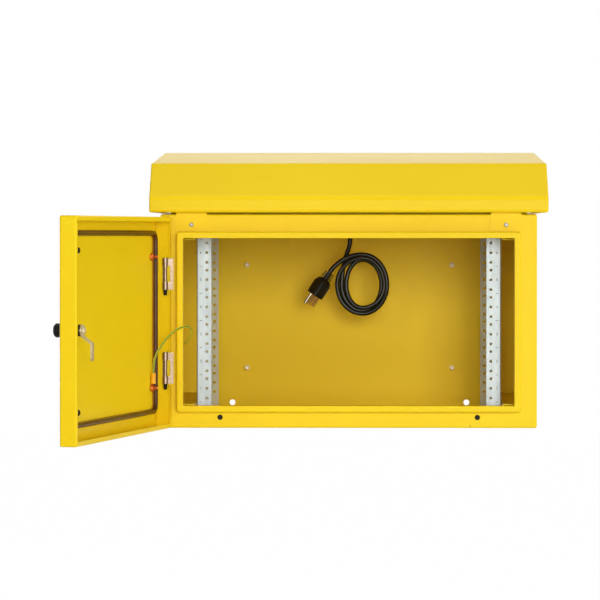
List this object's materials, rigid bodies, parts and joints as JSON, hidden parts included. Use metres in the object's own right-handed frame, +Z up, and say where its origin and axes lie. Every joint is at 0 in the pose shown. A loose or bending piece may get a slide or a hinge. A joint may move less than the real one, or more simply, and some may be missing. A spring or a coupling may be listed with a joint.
{
  "type": "wall-mount rack cabinet",
  "caption": "Yellow wall-mount rack cabinet with a hinged gasketed door, adjustable rack rails, a vented rain hood, top fans, a coiled power cord and a grounding wire.",
  "frame": {"origin": "centre of the four wall holes, on the back face that meets the wall", "axes": "+Y out of the back into the wall, +Z up, +X to the right seen from the front"},
  "size_m": [0.7568, 1.0983, 0.4539],
  "materials": {
    "yellow_paint": "semi-gloss powder coat with a fine orange-peel texture",
    "zinc_plate": "zinc-plated sheet steel",
    "hinge_steel": "plain satin steel",
    "bright_fastener": "bright nickel-plated fasteners",
    "copper_stud": "copper-flashed weld studs",
    "black_plastic": "satin black moulded plastic",
    "latch_zinc": "nickel-plated die casting",
    "seal_rubber": "dark foam rubber",
    "cord_rubber": "black flexible cord jacket",
    "blade_brass": "brass plug blades",
    "pin_nickel": "nickel-plated ground pin",
    "wire_jacket": "yellow and green wire jacket",
    "terminal_crimp": "yellow insulated crimp"
  },
  "bodies": {
    "cabinet": {"back_panel": "yellow_paint", "cabinet_wrapper": "yellow_paint", "cord_gland": "black_plastic", "fan_nuts": "bright_fastener", "fan_screws": "bright_fastener", "frame_plugs": "black_plastic", "front_frame": "yellow_paint", "front_left_rail": "zinc_plate", "front_right_rail": "zinc_plate", "ground_wire": "wire_jacket", "hood_screws": "bright_fastener", "left_fan_frame": "black_plastic", "left_fan_guard": "zinc_plate", "lower_hinge_leaf": "hinge_steel", "lower_hinge_pin": "hinge_steel", "lower_left_channel": "yellow_paint", "lower_right_channel": "yellow_paint", "panel_studs": "bright_fastener", "pin_caps": "black_plastic", "plug_blades": "blade_brass", "plug_body": "cord_rubber", "plug_ground_pin": "pin_nickel", "power_cord_coil": "cord_rubber", "power_cord_lead": "cord_rubber", "power_cord_tail": "cord_rubber", "rail_bolts": "bright_fastener", "rail_nuts": "bright_fastener", "rain_hood": "yellow_paint", "rear_left_rail": "zinc_plate", "rear_right_rail": "zinc_plate", "right_fan_frame": "black_plastic", "right_fan_guard": "zinc_plate", "terminal_box": "black_plastic", "upper_hinge_leaf": "hinge_steel", "upper_hinge_pin": "hinge_steel", "upper_left_channel": "yellow_paint", "upper_right_channel": "yellow_paint", "vent_upstand": "yellow_paint", "wall_ground_nut": "bright_fastener", "wall_ground_stud": "copper_stud", "wall_ring_terminal": "terminal_crimp"},
    "door": {"door_shell": "yellow_paint", "door_gasket": "seal_rubber", "door_plugs": "black_plastic", "upper_door_knuckle": "hinge_steel", "lower_door_knuckle": "hinge_steel", "door_studs": "copper_stud", "door_stud_nuts": "bright_fastener", "door_ring_terminal": "terminal_crimp", "latch_housing": "black_plastic", "latch_nut": "black_plastic"},
    "latch": {"latch_spindle": "latch_zinc", "latch_cam": "latch_zinc", "latch_bolt": "bright_fastener"},
    "left_fan": {"left_fan_rotor": "black_plastic"},
    "right_fan": {"right_fan_rotor": "black_plastic"}
  },
  "joints": [
    {"name": "door_hinge", "type": "hinge", "parent": "cabinet", "child": "door", "pos_m": [-0.2953, -0.5105, 0], "axis": [0, 0, -1], "range_deg": [-100.6, 4.4], "deforming": ["ground_wire"]},
    {"name": "latch_turn", "type": "hinge", "parent": "door", "child": "latch", "pos_m": [-0.41125, -1.03492, -0.0024], "axis": [-0.9829, 0.184, 0], "range_deg": [0, 90]},
    {"name": "left_fan_spin", "type": "hinge", "parent": "cabinet", "child": "left_fan", "pos_m": [-0.15, -0.25, 0.155], "axis": [0, 0, 1], "continuous": true},
    {"name": "right_fan_spin", "type": "hinge", "parent": "cabinet", "child": "right_fan", "pos_m": [0.15, -0.25, 0.155], "axis": [0, 0, 1], "continuous": true}
  ]
}
